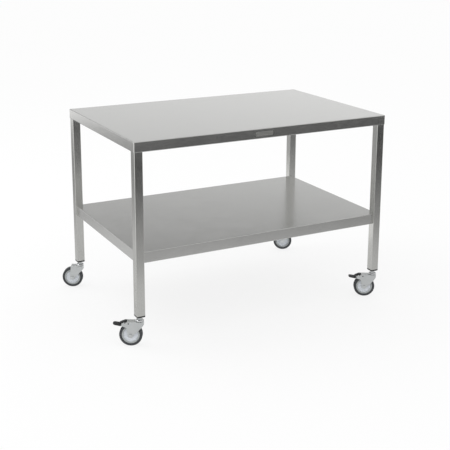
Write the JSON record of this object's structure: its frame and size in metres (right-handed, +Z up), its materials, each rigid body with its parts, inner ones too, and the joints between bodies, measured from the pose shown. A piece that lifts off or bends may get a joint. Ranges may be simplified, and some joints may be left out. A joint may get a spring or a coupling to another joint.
{
  "type": "stainless steel table",
  "caption": "Stainless steel work table with a folded top, a lower shelf tray between square tube legs, and swivel casters, the front ones with a lock pedal.",
  "frame": {"origin": "on the floor under the middle of the top", "axes": "+X along the table's length to the right as seen from the front, +Y from the front edge with the plate to the back, +Z up"},
  "size_m": [1.3471, 0.8435, 0.9],
  "materials": {
    "stainless_sheet": "brushed along the length",
    "stiffener_sheet": "mill finish",
    "stainless_tube": "brushed along the tube",
    "badge_sheet": "fine brushed, bare",
    "black_plastic": "moulded, fine texture",
    "plated_steel": "bright zinc plate",
    "bright_plated_steel": "polished plate",
    "ball_steel": "polished and greased",
    "tyre_rubber": "matte, non-marking",
    "shoe_rubber": "matte",
    "grey_plastic": "moulded, satin"
  },
  "bodies": {
    "table": {"top_tray": "stainless_sheet", "top_stiffeners": "stiffener_sheet", "shelf_tray": "stainless_sheet", "shelf_stiffeners": "stiffener_sheet", "badge_plate": "badge_sheet", "leg_front_left": "stainless_tube", "leg_front_right": "stainless_tube", "leg_back_left": "stainless_tube", "leg_back_right": "stainless_tube", "leg_inserts": "black_plastic", "caster_stems": "plated_steel", "swivel_heads": "bright_plated_steel", "ball_races": "ball_steel", "lock_rings": "plated_steel", "race_washers": "plated_steel"},
    "swivel_front_left": {"fork_front_left": "plated_steel", "axle_bolt_front_left": "plated_steel", "brake_pins_front_left": "plated_steel"},
    "wheel_front_left": {"tyre_front_left": "tyre_rubber", "wheel_core_front_left": "grey_plastic"},
    "pedal_front_left": {"lock_pedal_front_left": "plated_steel", "pedal_tread_front_left": "black_plastic", "brake_shoe_front_left": "shoe_rubber"},
    "release_front_left": {"release_lever_front_left": "black_plastic"},
    "swivel_front_right": {"fork_front_right": "plated_steel", "axle_bolt_front_right": "plated_steel", "brake_pins_front_right": "plated_steel"},
    "wheel_front_right": {"tyre_front_right": "tyre_rubber", "wheel_core_front_right": "grey_plastic"},
    "pedal_front_right": {"lock_pedal_front_right": "plated_steel", "pedal_tread_front_right": "black_plastic", "brake_shoe_front_right": "shoe_rubber"},
    "release_front_right": {"release_lever_front_right": "black_plastic"},
    "swivel_back_left": {"fork_back_left": "plated_steel", "axle_bolt_back_left": "plated_steel"},
    "wheel_back_left": {"tyre_back_left": "tyre_rubber", "wheel_core_back_left": "grey_plastic"},
    "swivel_back_right": {"fork_back_right": "plated_steel", "axle_bolt_back_right": "plated_steel"},
    "wheel_back_right": {"tyre_back_right": "tyre_rubber", "wheel_core_back_right": "grey_plastic"}
  },
  "joints": [
    {"name": "swivel_turn_front_left", "type": "hinge", "parent": "table", "child": "swivel_front_left", "pos_m": [-0.6115, -0.384, 0.11015], "axis": [0, 0, 1], "continuous": true},
    {"name": "wheel_spin_front_left", "type": "hinge", "parent": "swivel_front_left", "child": "wheel_front_left", "pos_m": [-0.64504, -0.3651, 0.05], "axis": [-0.4909, -0.8712, 0], "continuous": true},
    {"name": "pedal_press_front_left", "type": "hinge", "parent": "swivel_front_left", "child": "pedal_front_left", "pos_m": [-0.65245, -0.36093, 0.103], "axis": [-0.4909, -0.8712, 0], "range_deg": [0, 7]},
    {"name": "release_lift_front_left", "type": "hinge", "parent": "swivel_front_left", "child": "release_front_left", "pos_m": [-0.66551, -0.35356, 0.1065], "axis": [0.4909, 0.8712, 0], "range_deg": [0, 7]},
    {"name": "swivel_turn_front_right", "type": "hinge", "parent": "table", "child": "swivel_front_right", "pos_m": [0.6115, -0.384, 0.11015], "axis": [0, 0, 1], "continuous": true},
    {"name": "wheel_spin_front_right", "type": "hinge", "parent": "swivel_front_right", "child": "wheel_front_right", "pos_m": [0.57796, -0.3651, 0.05], "axis": [-0.4909, -0.8712, 0], "continuous": true},
    {"name": "pedal_press_front_right", "type": "hinge", "parent": "swivel_front_right", "child": "pedal_front_right", "pos_m": [0.57055, -0.36093, 0.103], "axis": [-0.4909, -0.8712, 0], "range_deg": [0, 7]},
    {"name": "release_lift_front_right", "type": "hinge", "parent": "swivel_front_right", "child": "release_front_right", "pos_m": [0.55749, -0.35356, 0.1065], "axis": [0.4909, 0.8712, 0], "range_deg": [0, 7]},
    {"name": "swivel_turn_back_left", "type": "hinge", "parent": "table", "child": "swivel_back_left", "pos_m": [-0.6115, 0.384, 0.11015], "axis": [0, 0, 1], "continuous": true},
    {"name": "wheel_spin_back_left", "type": "hinge", "parent": "swivel_back_left", "child": "wheel_back_left", "pos_m": [-0.64504, 0.4029, 0.05], "axis": [-0.4909, -0.8712, 0], "continuous": true},
    {"name": "swivel_turn_back_right", "type": "hinge", "parent": "table", "child": "swivel_back_right", "pos_m": [0.6115, 0.384, 0.11015], "axis": [0, 0, 1], "continuous": true},
    {"name": "wheel_spin_back_right", "type": "hinge", "parent": "swivel_back_right", "child": "wheel_back_right", "pos_m": [0.57796, 0.4029, 0.05], "axis": [-0.4909, -0.8712, 0], "continuous": true}
  ],
  "couplings": [
    {"joint": "release_lift_front_left", "follows": "pedal_press_front_left", "ratio": 1},
    {"joint": "release_lift_front_right", "follows": "pedal_press_front_right", "ratio": 1}
  ]
}
